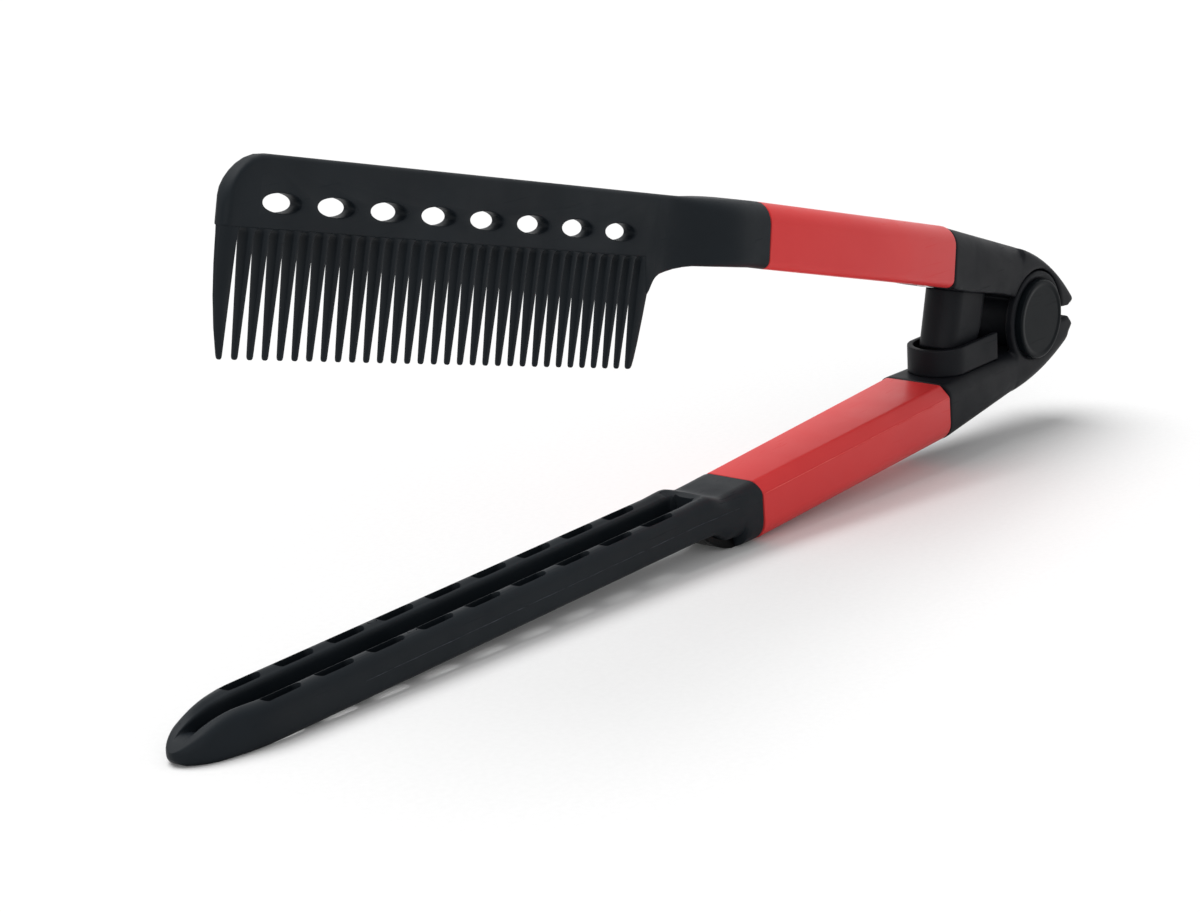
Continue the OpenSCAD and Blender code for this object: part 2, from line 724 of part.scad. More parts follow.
module lower_casing() {
    back = grip_back_width / 2;
    color([0.14, 0.15, 0.16])
    jaw_arm() difference() {
        union() {
            intersection() {
                slab(big) lower_casing_outline();
                union() {
                    intersection() {
                        crown(grip_start, -casing_top, back, 0, casing_taper, lower_edge);
                        keel(grip_start, lower_grip_drop + lower_grip_height, back,
                            lower_keel_slope - 0.4, casing_taper, keel_edge - 0.5);
                        bar(sleeve_end - 1, grip_start) square(big, center = true);
                    }
                    intersection() {
                        mirror([0, 0, 1]) round_crown(lower_keel_place, lower_keel_depth, hinge_half,
                            lower_keel_slope, lower_keel_radius, keel_edge - 1);
                        bar(-20, sleeve_end) square(big, center = true);
                    }
                }
            }
            rotate([90, 0, 0]) cylinder(h = hinge_width, r = lug_radius, center = true, $fn = 96);
        }
        // the slot between the lugs
        rotate([90, 0, 0])
            cylinder(h = 2 * lug_inner, r = knuckle_radius + hinge_gap, center = true);
        translate([-lug_radius - 1, -lug_inner, -casing_top]) cube([2 * lug_radius + 2, 2 * lug_inner, 20]);
        // bore of the pivot pin, seats of the caps and counterbores of the pin's head and washer
        rotate([90, 0, 0]) cylinder(h = hinge_width + 1, r = pin_radius, center = true);
        for (side = [-1, 1]) translate([0, side * hinge_half, 0]) rotate([90, 0, 0]) {
            cylinder(h = 2 * cap_sink, r = cap_radius + cap_gap, center = true);
            cylinder(h = 2 * (cap_sink + head_sink), r = pin_head_radius, center = true);
        }
        cap_pegs(0, -1);
        cap_pegs(0, 1);
        lower_tang(tang_gap, tang_reach + 4.8, grip_start + 1);
        cup_body(cup_seat, 0, cup_radius - 0.7);
        translate([-spring_place, 0, lower_tang_z]) cylinder(h = 10, r = screw_radius + 0.15);
        // recess of the screw that holds the jaw's tang
        translate([-tang_screw_place, 0, -40])
            cylinder(h = 40 + tang_screw_seat, r = screw_head_radius + 0.3);
        translate([-tang_screw_place, 0, -20]) cylinder(h = 10, r = screw_radius);
    }
}

// three pegs in a ring on the inner face of a pivot cap
module cap_pegs(gap, side) {
    for (turn = [30, 150, 270])
        rotate([0, turn, 0])
            translate([5.9, side * (hinge_half - cap_sink), 0]) rotate([90, 0, 0])
                cylinder(h = 1.4, r = cap_peg + gap, center = true, $fn = 24);
}

module pivot_cap(side) {
    color([0.17, 0.18, 0.2])
    jaw_arm() difference() {
        union() {
            translate([0, side * (hinge_half - cap_sink), 0]) rotate([side * -90, 0, 0]) {
                cylinder(h = cap_sink + cap_height - 0.3, r = cap_radius);
                translate([0, 0, cap_sink + cap_height - 0.3])
                    cylinder(h = 0.3, r1 = cap_radius, r2 = cap_radius - 0.3);
            }
            cap_pegs(-0.02, side);
        }
        translate([0, side * (hinge_half - cap_sink), 0]) rotate([90, 0, 0])
            cylinder(h = 0.6, r = pin_head_radius + 0.2, center = true);
    }
}
module near_pivot_cap() { pivot_cap(-1); }
module far_pivot_cap() { pivot_cap(1); }

module pivot_pin() {
    face = hinge_half - cap_sink;
    color("silver")
    jaw_arm() rotate([90, 0, 0]) {
        translate([0, 0, -face - 0.2]) cylinder(h = 2 * face + 0.2, r = pin_radius);
        translate([0, 0, face - head_sink]) cylinder(h = pin_head, r = pin_head_radius);
    }
}

module pin_retainer() {
    color("dimgray")
    jaw_arm() translate([0, hinge_half - cap_sink - head_sink, 0]) rotate([-90, 0, 0]) difference() {
        cylinder(h = pin_head, r = pin_head_radius - 0.1);
        translate([0, 0, -1]) cylinder(h = 3, r = pin_radius);
    }
}

// the cup's outline is round in front and open behind
module cup_outline(r) {
    translate([-cup_place, 0]) circle(r);
    translate([-cup_place, -r]) square([cup_place - cup_back, 2 * r]);
}
module cup_body(bottom, top, r) {
    translate([0, 0, bottom]) linear_extrude(top - bottom) cup_outline(r);
}

module spring_cup() {
    color([0.16, 0.17, 0.18])
    jaw_arm() difference() {
        union() {
            cup_body(-casing_top, cup_rim, cup_radius);
            cup_body(cup_seat, -casing_top + 0.1, cup_radius - 0.7);
        }
        translate([0, 0, cup_floor]) linear_extrude(20) {
            translate([-cup_place, 0]) circle(cup_radius - guard_wall);
            translate([-cup_place, guard_wall - cup_radius])
                square([cup_place - cup_back + 1, 2 * (cup_radius - guard_wall)]);
        }
        translate([-spring_place, 0, -20]) cylinder(h = 20, r = screw_radius);
    }
}

module cup_screw() {
    color("silver")
    jaw_arm() translate([-spring_place, 0, cup_floor]) rotate([180, 0, 0])
        screw(cup_floor - lower_tang_z - 0.6);
}

module lower_tang_screw() {
    color("silver")
    jaw_arm() translate([-tang_screw_place, 0, tang_screw_seat]) screw(3.6);
}

module rest_foot() {
    color([0.06, 0.06, 0.07])
    difference() {
        jaw_arm() intersection() {
            slab(foot_width) foot_outline();
            foot_pocket();
        }
        floor_cut();
    }
}

// ---- return spring ----

spring_foot = [-spring_place, cup_floor + spring_wire / 2 + 0.15];
spring_head = [-spring_top_u * cos(open_angle) + spring_top_v * sin(open_angle),
    spring_top_u * sin(open_angle) + spring_top_v * cos(open_angle) - spring_wire / 2 - 0.65];
spring_lean = atan2(spring_head[0] - spring_foot[0], spring_head[1] - spring_foot[1]);
spring_length = norm(spring_head - spring_foot);
spring_pitch = spring_length / spring_turns;
echo(spring_gap = spring_pitch - spring_wire);

// one ring of the wire, at a share t of the spring's length
function coil_middle(t) = let (a = 360 * spring_turns * t, r = spring_radius - spring_wire / 2)
    [r * cos(a), r * sin(a), spring_length * t];
function coil_ring(t, sides) = let (
        a = 360 * spring_turns * t,
        c = coil_middle(t),
        out = [cos(a), sin(a), 0],
        rise = atan(spring_pitch / (2 * PI * (spring_radius - spring_wire / 2))),
        up = [sin(a) * sin(rise), -cos(a) * sin(rise), cos(rise)])
    [for (k = [0:sides - 1]) let (b = 360 * k / sides)
        c + spring_wire / 2 * (out * cos(b) + up * sin(b))];

module return_spring() {
    sides = 6;
    rings = 8 * spring_turns;
    points = [for (i = [0:rings], p = coil_ring(i / rings, sides)) p];
    walls = [for (i = [0:rings - 1], k = [0:sides - 1]) let (
            a = i * sides + k,
            b = i * sides + (k + 1) % sides)
        each [[a, a + sides, b], [b, a + sides, b + sides]]];
    caps = [for (k = [1:sides - 2]) each [[0, k, k + 1],
        [rings * sides, rings * sides + k + 1, rings * sides + k]]];
    color("silver")
    jaw_arm() translate([spring_foot[0], 0, spring_foot[1]]) rotate([0, spring_lean, 0])
        polyhedron(points, concat(walls, caps));
}

lower_jaw();
lower_grip();
lower_casing();
spring_cup();
cup_screw();
lower_tang_screw();
rest_foot();
pivot_pin();
pin_retainer();
near_pivot_cap();
far_pivot_cap();
return_spring();
comb();
upper_grip();
upper_casing();
spring_post();
post_screw();
upper_tang_screw();
hinge_bush();
near_washer();
far_washer();
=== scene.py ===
import bpy
import bmesh
import json
import math
from mathutils import Matrix, Vector


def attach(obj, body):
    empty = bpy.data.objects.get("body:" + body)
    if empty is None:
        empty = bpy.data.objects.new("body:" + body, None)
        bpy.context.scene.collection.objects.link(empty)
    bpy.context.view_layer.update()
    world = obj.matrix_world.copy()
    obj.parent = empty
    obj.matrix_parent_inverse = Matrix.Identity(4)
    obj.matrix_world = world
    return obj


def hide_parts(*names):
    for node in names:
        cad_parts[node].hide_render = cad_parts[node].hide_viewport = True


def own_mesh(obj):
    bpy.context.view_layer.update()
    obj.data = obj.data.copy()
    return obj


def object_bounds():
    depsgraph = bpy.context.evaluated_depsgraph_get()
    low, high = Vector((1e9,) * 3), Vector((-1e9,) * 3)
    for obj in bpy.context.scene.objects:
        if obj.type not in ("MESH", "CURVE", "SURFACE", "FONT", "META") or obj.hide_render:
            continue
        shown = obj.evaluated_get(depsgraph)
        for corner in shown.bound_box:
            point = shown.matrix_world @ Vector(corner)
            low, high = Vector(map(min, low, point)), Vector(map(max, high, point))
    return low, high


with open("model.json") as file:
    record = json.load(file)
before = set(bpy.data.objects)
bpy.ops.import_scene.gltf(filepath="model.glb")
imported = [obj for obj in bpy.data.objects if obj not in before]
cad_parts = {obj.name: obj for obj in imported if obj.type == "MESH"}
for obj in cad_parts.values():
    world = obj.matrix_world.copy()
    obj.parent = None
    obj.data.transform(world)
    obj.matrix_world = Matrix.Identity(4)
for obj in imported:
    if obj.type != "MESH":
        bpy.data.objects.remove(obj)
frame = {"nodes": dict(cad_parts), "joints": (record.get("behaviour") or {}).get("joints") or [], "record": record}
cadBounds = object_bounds()
print("frame loaded,", len(frame["nodes"]), "solids")

# both arms are modelled in millimetres from the pivot, running along -X, and then put in place
joint = frame["joints"][0]
arms = dict(restTilt=2.3822, openAngle=14.6)
toPivot = Matrix.Translation(Vector(joint["pos_m"]))
toMetres = Matrix.Scale(0.001, 4)
jawFrame = toPivot @ Matrix.Rotation(math.radians(-arms["restTilt"]), 4, "Y") @ toMetres
combFrame = toPivot @ Matrix.Rotation(math.radians(arms["openAngle"] - arms["restTilt"]), 4, "Y") @ toMetres
armFrame = {"jaw_arm": jawFrame, "comb_arm": combFrame}


# small helpers

def deselect():
    if bpy.context.object and bpy.context.object.mode != "OBJECT":
        bpy.ops.object.mode_set(mode="OBJECT")
    bpy.ops.object.select_all(action="DESELECT")


def work(piece):
    deselect()
    piece.select_set(True)
    bpy.context.view_layer.objects.active = piece


def pick(piece, kind, test):
    # enters edit mode with only the verts, edges or faces that pass the test selected
    if bpy.context.object != piece or piece.mode != "EDIT":
        work(piece)
        bpy.ops.object.mode_set(mode="EDIT")
    bpy.ops.mesh.select_mode(type={"verts": "VERT", "edges": "EDGE", "faces": "FACE"}[kind])
    bpy.ops.mesh.select_all(action="DESELECT")
    mesh = bmesh.from_edit_mesh(piece.data)
    found = 0
    for part in getattr(mesh, kind):
        if test(part):
            part.select_set(True)
            found += 1
    mesh.select_flush_mode()
    bmesh.update_edit_mesh(piece.data)
    return found


def middle(part):
    return sum((v.co for v in part.verts), Vector()) / len(part.verts)


def done():
    bpy.ops.object.mode_set(mode="OBJECT")


def addModifier(piece, kind, **settings):
    work(piece)
    extra = piece.modifiers.new(kind.lower(), kind)
    for name, value in settings.items():
        setattr(extra, name, value)
    bpy.ops.object.modifier_apply(modifier=extra.name)


def place(piece, name, body, slot, material, *nodes, smooth=40):
    # puts a finished piece in its arm, gives it its material and hides the solids it stands for
    work(piece)
    piece.name = name
    piece.data.name = name
    piece.data.transform(armFrame[body])
    # nothing stands out of the box around the solids
    for v in piece.data.vertices:
        v.co = [min(max(c, low), high) for c, low, high in zip(v.co, *cadBounds)]
    bpy.ops.object.mode_set(mode="EDIT")
    bpy.ops.mesh.select_all(action="SELECT")
    bpy.ops.mesh.normals_make_consistent(inside=False)
    done()
    bpy.ops.object.shade_smooth_by_angle(angle=math.radians(smooth))
    piece.data.materials.clear()
    piece.data.materials.append(material)
    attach(piece, body)
    if nodes:
        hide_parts(*nodes)
    deselect()
    return piece


def joinAll(pieces):
    deselect()
    for p in pieces:
        p.select_set(True)
    bpy.context.view_layer.objects.active = pieces[0]
    bpy.ops.object.join()
    return bpy.context.object


def softCopy(node, body, voxel, rounds):
    # a copy of a solid, its corners rounded as a mould leaves them
    source = frame["nodes"][node]
    piece = bpy.data.objects.new("soft_" + node, source.data.copy())
    bpy.context.scene.collection.objects.link(piece)
    piece.data.transform(armFrame[body].inverted())
    work(piece)
    bpy.ops.object.mode_set(mode="EDIT")
    bpy.ops.mesh.select_all(action="SELECT")
    bpy.ops.mesh.remove_doubles(threshold=0.002)
    done()
    addModifier(piece, "REMESH", mode="VOXEL", voxel_size=voxel, adaptivity=0)
    addModifier(piece, "SMOOTH", factor=0.5, iterations=rounds)
    return piece


# camera, fitted to the photograph

view = dict(place=(-0.412497, -0.302734, 0.153152), turn=(75.0647, 1.6436, -51.6343), lens=86.64, sensor=36,
            nearest=0.01)
deselect()
bpy.ops.object.camera_add(location=view["place"], rotation=[math.radians(a) for a in view["turn"]])
camera = bpy.context.object
camera.name = "photoCamera"
camera.data.lens = view["lens"]
camera.data.sensor_width = view["sensor"]
camera.data.clip_start = view["nearest"]
bpy.context.scene.camera = camera
bpy.context.scene.view_settings.view_transform = "Standard"
print("camera placed")


# materials: every one is procedural and reads Object coordinates

ranges = dict(cloud=(0.3, 0.7), scratch=(0.66, 0.7), patch=3.1, grainHigh=0.00005, sinkHigh=0.0004, lineHigh=0.00003,
              lineDepth=0.15)


def nodeTree(name):
    material = bpy.data.materials.new(name)
    material.use_nodes = True
    tree = material.node_tree
    return material, tree, tree.nodes["Principled BSDF"]


def addNode(tree, kind, **settings):
    node = tree.nodes.new(kind)
    for name, value in settings.items():
        if name in node.inputs:
            node.inputs[name].default_value = value
        else:
            setattr(node, name, value)
    return node


def noiseNode(tree, coords, scale, detail=2.0, stretch=None):
    noise = addNode(tree, "ShaderNodeTexNoise", Scale=scale, Detail=detail)
    if stretch:
        mapping = addNode(tree, "ShaderNodeMapping", Scale=stretch)
        tree.links.new(coords, mapping.inputs["Vector"])
        coords = mapping.outputs["Vector"]
    tree.links.new(coords, noise.inputs["Vector"])
    return noise.outputs["Fac"]


def rampNode(tree, source, span, colors):
    # blends from one color to the other over span
    ramp = tree.nodes.new("ShaderNodeValToRGB")
    for element, position, color in zip(ramp.color_ramp.elements, span, colors):
        element.position = position
        element.color = (*color, 1)
    tree.links.new(source, ramp.inputs["Fac"])
    return ramp.outputs["Color"]


def grey(value):
    return (value, value, value)


def moulded(name, finish):
    # satin moulded plastic: cloudy tone, fine spark-eroded grain and a few hair scratches
    material, tree, shader = nodeTree(name)
    coords = tree.nodes.new("ShaderNodeTexCoord").outputs["Object"]
    cloud = noiseNode(tree, coords, finish["cloudScale"], 4.0)
    color = rampNode(tree, cloud, ranges["cloud"], (finish["dark"], finish["light"]))
    tree.links.new(color, shader.inputs["Base Color"])
    patch = noiseNode(tree, coords, finish["cloudScale"] * ranges["patch"], 5.0)
    low, high = finish["roughness"]
    rough = rampNode(tree, patch, ranges["cloud"], (grey(low), grey(high)))
    scratch = noiseNode(tree, coords, finish["scratchScale"], 3.0, finish["scratchStretch"])
    scratchMask = rampNode(tree, scratch, ranges["scratch"], (grey(0.0), grey(1.0)))
    mix = addNode(tree, "ShaderNodeMix", data_type="FLOAT")
    tree.links.new(scratchMask, mix.inputs[0])
    tree.links.new(rough, mix.inputs[2])
    mix.inputs[3].default_value = high + finish["scratchRough"]
    tree.links.new(mix.outputs[0], shader.inputs["Roughness"])
    grain = noiseNode(tree, coords, finish["grainScale"], 2.0)
    bump = addNode(tree, "ShaderNodeBump", Strength=finish["grainDepth"], Distance=ranges["grainHigh"])
    tree.links.new(grain, bump.inputs["Height"])
    wave = noiseNode(tree, coords, finish["waveScale"], 1.0)
    sink = addNode(tree, "ShaderNodeBump", Strength=finish["waveDepth"], Distance=ranges["sinkHigh"])
    tree.links.new(wave, sink.inputs["Height"])
    tree.links.new(bump.outputs["Normal"], sink.inputs["Normal"])
    tree.links.new(sink.outputs["Normal"], shader.inputs["Normal"])
    shader.inputs["Specular IOR Level"].default_value = finish["specular"]
    return material


blackFinish = dict(dark=(0.0040, 0.0046, 0.0062), light=(0.0062, 0.0071, 0.0092), cloudScale=45,
                   roughness=(0.42, 0.55), scratchScale=700, scratchStretch=(0.12, 3.0, 3.0), scratchRough=0.06,
                   grainScale=5200, grainDepth=0.22, waveScale=60, waveDepth=0.06, specular=0.10)
jawFinish = dict(blackFinish, dark=(0.0046, 0.0068, 0.0092), light=(0.0070, 0.0102, 0.0134),
                 roughness=(0.44, 0.58), specular=0.12)
capFinish = dict(blackFinish, dark=(0.0030, 0.0044, 0.0056), light=(0.0044, 0.0062, 0.0078),
                 roughness=(0.34, 0.42), waveDepth=0.03, specular=0.06)
# black rubber for the rest foot, made darker still as painted shade for its place under the arm
shadedFootFinish = dict(blackFinish, dark=(0.0010, 0.0010, 0.0014), light=(0.0022, 0.0022, 0.0028),
                  roughness=(0.25, 0.36), specular=0.08)
# light, blotchy grey-black for the jaw's mould lines: a painted highlight along them
partingHighlightFinish = dict(blackFinish, dark=(0.0100, 0.0130, 0.0165), light=(0.0900, 0.1000, 0.1200), cloudScale=520,
                   roughness=(0.5, 0.6))
redFinish = dict(dark=(0.590, 0.034, 0.036), light=(0.640, 0.043, 0.043), cloudScale=38, roughness=(0.34, 0.42),
                 scratchScale=640, scratchStretch=(0.12, 3.0, 3.0), scratchRough=0.05, grainScale=4200,
                 grainDepth=0.12, waveScale=42, waveDepth=0.10, specular=0.18)
# a lighter, pinker red: a painted highlight along the lower grip's bevelled edge
gripHighlightFinish = dict(redFinish, dark=(0.66, 0.045, 0.045), light=(0.78, 0.12, 0.11), cloudScale=300)
naturalFinish = dict(blackFinish, dark=(0.62, 0.60, 0.52), light=(0.7, 0.68, 0.6), roughness=(0.4, 0.5))
blackPlastic = moulded("blackPlastic", blackFinish)
jawPlastic = moulded("jawPlastic", jawFinish)
capPlastic = moulded("capPlastic", capFinish)
shadedFootRubber = moulded("shadedFootRubber", shadedFootFinish)
redPlastic = moulded("redPlastic", redFinish)
partingHighlightPlastic = moulded("partingHighlightPlastic", partingHighlightFinish)
gripHighlightPlastic = moulded("gripHighlightPlastic", gripHighlightFinish)
naturalPlastic = moulded("naturalPlastic", naturalFinish)


def brushed(name, finish):
    # metal with fine lines along one direction
    material, tree, shader = nodeTree(name)
    coords = tree.nodes.new("ShaderNodeTexCoord").outputs["Object"]
    lines = noiseNode(tree, coords, finish["scale"], 3.0, finish["stretch"])
    color = rampNode(tree, lines, ranges["cloud"], (finish["dark"], finish["light"]))
    tree.links.new(color, shader.inputs["Base Color"])
    low, high = finish["roughness"]
    tree.links.new(rampNode(tree, lines, ranges["cloud"], (grey(low), grey(high))), shader.inputs["Roughness"])
    bump = addNode(tree, "ShaderNodeBump", Strength=ranges["lineDepth"], Distance=ranges["lineHigh"])
    tree.links.new(lines, bump.inputs["Height"])
    tree.links.new(bump.outputs["Normal"], shader.inputs["Normal"])
    shader.inputs["Metallic"].default_value = 1.0
    return material


steelFinish = dict(dark=grey(0.42), light=grey(0.62), scale=2400, stretch=(1, 0.2, 1), roughness=(0.24, 0.4))
springFinish = dict(dark=grey(0.3), light=grey(0.5), scale=3000, stretch=(1, 1, 0.2), roughness=(0.2, 0.34))
steel = brushed("steel", steelFinish)
springSteel = brushed("springSteel", springFinish)
bySlot = {"black_plastic": blackPlastic, "black_jaw": jawPlastic, "cap_plastic": capPlastic, "red_grip": redPlastic,
          "foot_rubber": shadedFootRubber, "steel": steel, "spring_steel": springSteel, "natural_plastic": naturalPlastic}
for part in frame["record"]["subparts"]:
    solid = frame["nodes"][part["node"]]
    solid.data.materials.clear()
    solid.data.materials.append(bySlot[part["material_slot"]])
print("materials ready")


# floor, world and lamps

stageSet = dict(floorSize=12, floorDrop=0.00002, floorColor=0.83, floorGrain=0.01, grainScale=900, floorRough=0.9,
                floorGlow=0.03, ambient=0.40)


def seenRays(tree, path):
    # 1 for what the camera, reflections and glass see
    first = addNode(tree, "ShaderNodeMath", operation="MAXIMUM")
    both = addNode(tree, "ShaderNodeMath", operation="MAXIMUM")
    tree.links.new(path.outputs["Is Camera Ray"], first.inputs[0])
    tree.links.new(path.outputs["Is Glossy Ray"], first.inputs[1])
    tree.links.new(first.outputs[0], both.inputs[0])
    tree.links.new(path.outputs["Is Transmission Ray"], both.inputs[1])
    return both.outputs[0]


def buildFloor():
    deselect()
    bpy.ops.mesh.primitive_plane_add(size=stageSet["floorSize"], location=(0, 0, -stageSet["floorDrop"]))
    floor = bpy.context.object
    floor.name = "floor"
    material, tree, shader = nodeTree("floorPaper")
    coords = tree.nodes.new("ShaderNodeTexCoord").outputs["Object"]
    paper = noiseNode(tree, coords, stageSet["grainScale"], 3.0)
    value, grain = stageSet["floorColor"], stageSet["floorGrain"]
    color = rampNode(tree, paper, ranges["cloud"], (grey(value - grain), grey(value + grain)))
    tree.links.new(color, shader.inputs["Base Color"])
    shader.inputs["Roughness"].default_value = stageSet["floorRough"]
    shader.inputs["Specular IOR Level"].default_value = 0.0
    # the camera and reflections see it a little brighter, so that it ends in white
    glow = addNode(tree, "ShaderNodeEmission", Color=(1, 1, 1, 1), Strength=stageSet["floorGlow"])
    both = tree.nodes.new("ShaderNodeAddShader")
    pickShader = tree.nodes.new("ShaderNodeMixShader")
    path = tree.nodes.new("ShaderNodeLightPath")
    seen = seenRays(tree, path)
    tree.links.new(shader.outputs[0], both.inputs[0])
    tree.links.new(glow.outputs[0], both.inputs[1])
    tree.links.new(seen, pickShader.inputs[0])
    tree.links.new(shader.outputs[0], pickShader.inputs[1])
    tree.links.new(both.outputs[0], pickShader.inputs[2])
    tree.links.new(pickShader.outputs[0], tree.nodes["Material Output"].inputs["Surface"])
    floor.data.materials.append(material)


def buildWorld():
    world = bpy.data.worlds.new("studio")
    bpy.context.scene.world = world
    world.use_nodes = True
    tree = world.node_tree
    tree.nodes.clear()
    soft = addNode(tree, "ShaderNodeBackground", Color=(1, 1, 1, 1), Strength=stageSet["ambient"])
    white = addNode(tree, "ShaderNodeBackground", Color=(1, 1, 1, 1), Strength=1.0)
    path = tree.nodes.new("ShaderNodeLightPath")
    mix = tree.nodes.new("ShaderNodeMixShader")
    out = tree.nodes.new("ShaderNodeOutputWorld")
    tree.links.new(seenRays(tree, path), mix.inputs[0])
    tree.links.new(soft.outputs[0], mix.inputs[1])
    tree.links.new(white.outputs[0], mix.inputs[2])
    tree.links.new(mix.outputs[0], out.inputs["Surface"])


lamps = [
    dict(name="keyLamp", place=(-0.12, 0.36, 1.0), angle=48, light=0.73),
    dict(name="fillLamp", place=(-0.8, -0.75, 0.30), angle=60, light=0.07),
]


def buildLamps():
    # light is what each lamp gives the floor, where 1 shows a colour as it is written
    for lamp in lamps:
        toLamp = Vector(lamp["place"]).normalized()
        bpy.ops.object.light_add(type="SUN", location=toLamp, rotation=toLamp.to_track_quat("Z", "Y").to_euler())
        light = bpy.context.object
        light.name = lamp["name"]
        light.data.angle = math.radians(lamp["angle"])
        light.data.energy = math.pi * lamp["light"] / toLamp.z


buildFloor()
buildWorld()
buildLamps()
print("stage lit")


# shapes that the pieces share

def loft(name, rings):
    # a closed body extruded from its first outline through all the others
    deselect()
    bpy.ops.mesh.primitive_circle_add(vertices=len(rings[0]), radius=1, fill_type="NGON")
    piece = bpy.context.object
    piece.name = name
    bpy.ops.object.mode_set(mode="EDIT")
    bpy.ops.mesh.select_mode(type="FACE")
    bpy.ops.mesh.select_all(action="SELECT")
    mesh = bmesh.from_edit_mesh(piece.data)
    order = {v.index: i for i, v in enumerate(list(mesh.faces)[0].verts)}
    for v in mesh.verts:
        v.co = rings[0][order[v.index]]
    last = rings[0]
    bmesh.update_edit_mesh(piece.data)
    for ring in rings[1:]:
        bpy.ops.mesh.extrude_region_move()
        mesh = bmesh.from_edit_mesh(piece.data)
        for v in [v for v in mesh.verts if v.select]:
            nearest = min(range(len(last)), key=lambda i: (v.co - Vector(last[i])).length_squared)
            v.co = ring[nearest]
        last = ring
        bmesh.update_edit_mesh(piece.data)
    bpy.ops.mesh.select_all(action="SELECT")
    bpy.ops.mesh.normals_make_consistent(inside=False)
    done()
    return piece


stub = dict(share=0.93, reaches=(98.6, 99.5))


def withStub(rings):
    # a short stub runs on into the grip, so that no light comes through the seam
    first = rings[0]
    cy, cz = (sum(p[i] for p in first) / len(first) for i in (1, 2))
    inner = [[(-reach, cy + (y - cy) * stub["share"], cz + (z - cz) * stub["share"]) for x, y, z in first]
             for reach in stub["reaches"]]
    return inner + rings


def cut(body, tool):
    addModifier(body, "BOOLEAN", operation="DIFFERENCE", object=tool, solver="EXACT")
    bpy.data.objects.remove(tool)


def settle(piece):
    bpy.ops.object.transform_apply(location=True, rotation=True, scale=True)
    return piece


def corner(cy, cz, r, start, steps):
    turns = [math.radians(start + 90 * i / steps) for i in range(steps + 1)]
    return [(cy + r * math.cos(a), cz + r * math.sin(a)) for a in turns]


def roundedBox(half, low, high, lowEdge, highEdge, lean, steps):
    # outline of a bar's section as [side, height]; lean narrows it towards the top
    points = corner(half - highEdge, high - highEdge, highEdge, 0, steps)
    points += corner(highEdge - half, high - highEdge, highEdge, 90, steps)
    points += corner(lowEdge - half, low + lowEdge, lowEdge, 180, steps)
    points += corner(half - lowEdge, low + lowEdge, lowEdge, 270, steps)
    return [(y * (1 - lean * (z - low) / (high - low) / half), z) for y, z in points]


def mix(pair, t):
    return pair[0] + (pair[1] - pair[0]) * t


def ease(t):
    t = min(1.0, max(0.0, t))
    return t * t * (3 - 2 * t)


def between(x, table):
    for (x0, y0), (x1, y1) in zip(table, table[1:]):
        if x <= x1:
            return y0 + (y1 - y0) * max(0.0, (x - x0) / (x1 - x0))
    return table[-1][1]


# the comb: one body from the grip to its free end, with air holes through it; pairs run from the grip to the blade

comb = dict(end=230.65, corner=8.5, top=17.5, frontWidth=14.8, thickness=3.0, blendStart=107.0, blend=17.0, lean=1.0,
            topEdge=(3.8, 0.95), topMost=0.98, lowEdge=(1.8, 0.3), lowMost=0.5, edgeSteps=5, endRound=1.2,
            endLeast=0.03, endShare=0.9)
combTop = [(99.5, 17.99), (103, 18.03), (108, 17.93), (112, 17.78), (117.4, 17.52), (122, 17.5), (240, 17.5)]
combLow = [(99.5, 6.0), (104, 6.1), (110, 5.9), (117.1, 5.5), (120, 5.0), (121.6, 4.5), (122.9, 3.95), (123.9, 3.45),
           (124.8, 2.8), (125.4, 2.2), (125.8, 1.5), (126.1, 0.7), (126.3, 0.0), (126.5, -0.4), (127.2, -0.4),
           (128.8, 6.45), (240, 6.45)]
combReaches = [99.55, 99.65, 101.5, 104, 107, 109, 111, 113, 115, 117, 119, 121, 122.4, 123.4, 123.9, 124.4, 124.9,
               125.3, 125.6, 125.8, 126.0, 126.15, 126.3, 126.5, 127.2, 128.8, 175, 222, 224, 225.8, 227.2, 228.3,
               229.2, 229.8, 230.2, 230.45, 230.62]
block = dict(end=128, edge=0.85, edgeStart=121, edgeRun=4, knee=0.12, thin=0.085, thinStart=123, thinRun=2,
             thinBelow=3.2)
airHole = dict(start=136.4, pitch=11.8, count=8, length=8.4, height=3.0, drop=7.1, rim=0.45, rimSteps=4, sides=40,
               depth=6, near=0.02, within=1.06)


def combRing(reach):
    wide = comb["frontWidth"] / 2
    t = ease((reach - comb["blendStart"]) / comb["blend"])
    half = mix((wide, comb["thickness"] / 2), t)
    toEnd = (comb["end"] - reach) / comb["endRound"]
    if toEnd < 1:
        curve = math.sqrt(max(comb["endLeast"], 1 - (1 - toEnd) ** 2))
        half *= mix((1 - comb["endShare"], 1), curve)
    top = between(reach, combTop)
    into = reach - (comb["end"] - comb["corner"])
    if into > 0:
        top -= comb["corner"] - math.sqrt(max(0.0, comb["corner"] ** 2 - into ** 2))
    low = between(reach, combLow)
    highEdge = min(mix(comb["topEdge"], t), half * comb["topMost"])
    lowEdge = min(mix(comb["lowEdge"], t), half * comb["lowMost"])
    if reach < block["end"]:
        lowEdge += (half * block["edge"] - lowEdge) * ease((reach - block["edgeStart"]) / block["edgeRun"])
    points = roundedBox(half, low, top, lowEdge, highEdge, comb["lean"] * (1 - t), comb["edgeSteps"])
    # each side has one more point, below which the block thins down to its guard tooth
    lowLeft = 2 * (comb["edgeSteps"] + 1)
    knee = low + lowEdge + block["knee"] * (top - highEdge - low - lowEdge)
    points.insert(lowLeft, (mix((points[lowLeft][0], points[lowLeft - 1][0]), block["knee"]), knee))
    points.append((-points[lowLeft][0], knee))
    thin = block["thin"] * ease((reach - block["thinStart"]) / block["thinRun"])
    return [(-reach, y * (1 - thin * max(0.0, block["thinBelow"] - z)), z) for y, z in points]


def holeCenter(i):
    return -airHole["start"] - i * airHole["pitch"], 0, comb["top"] - airHole["drop"]


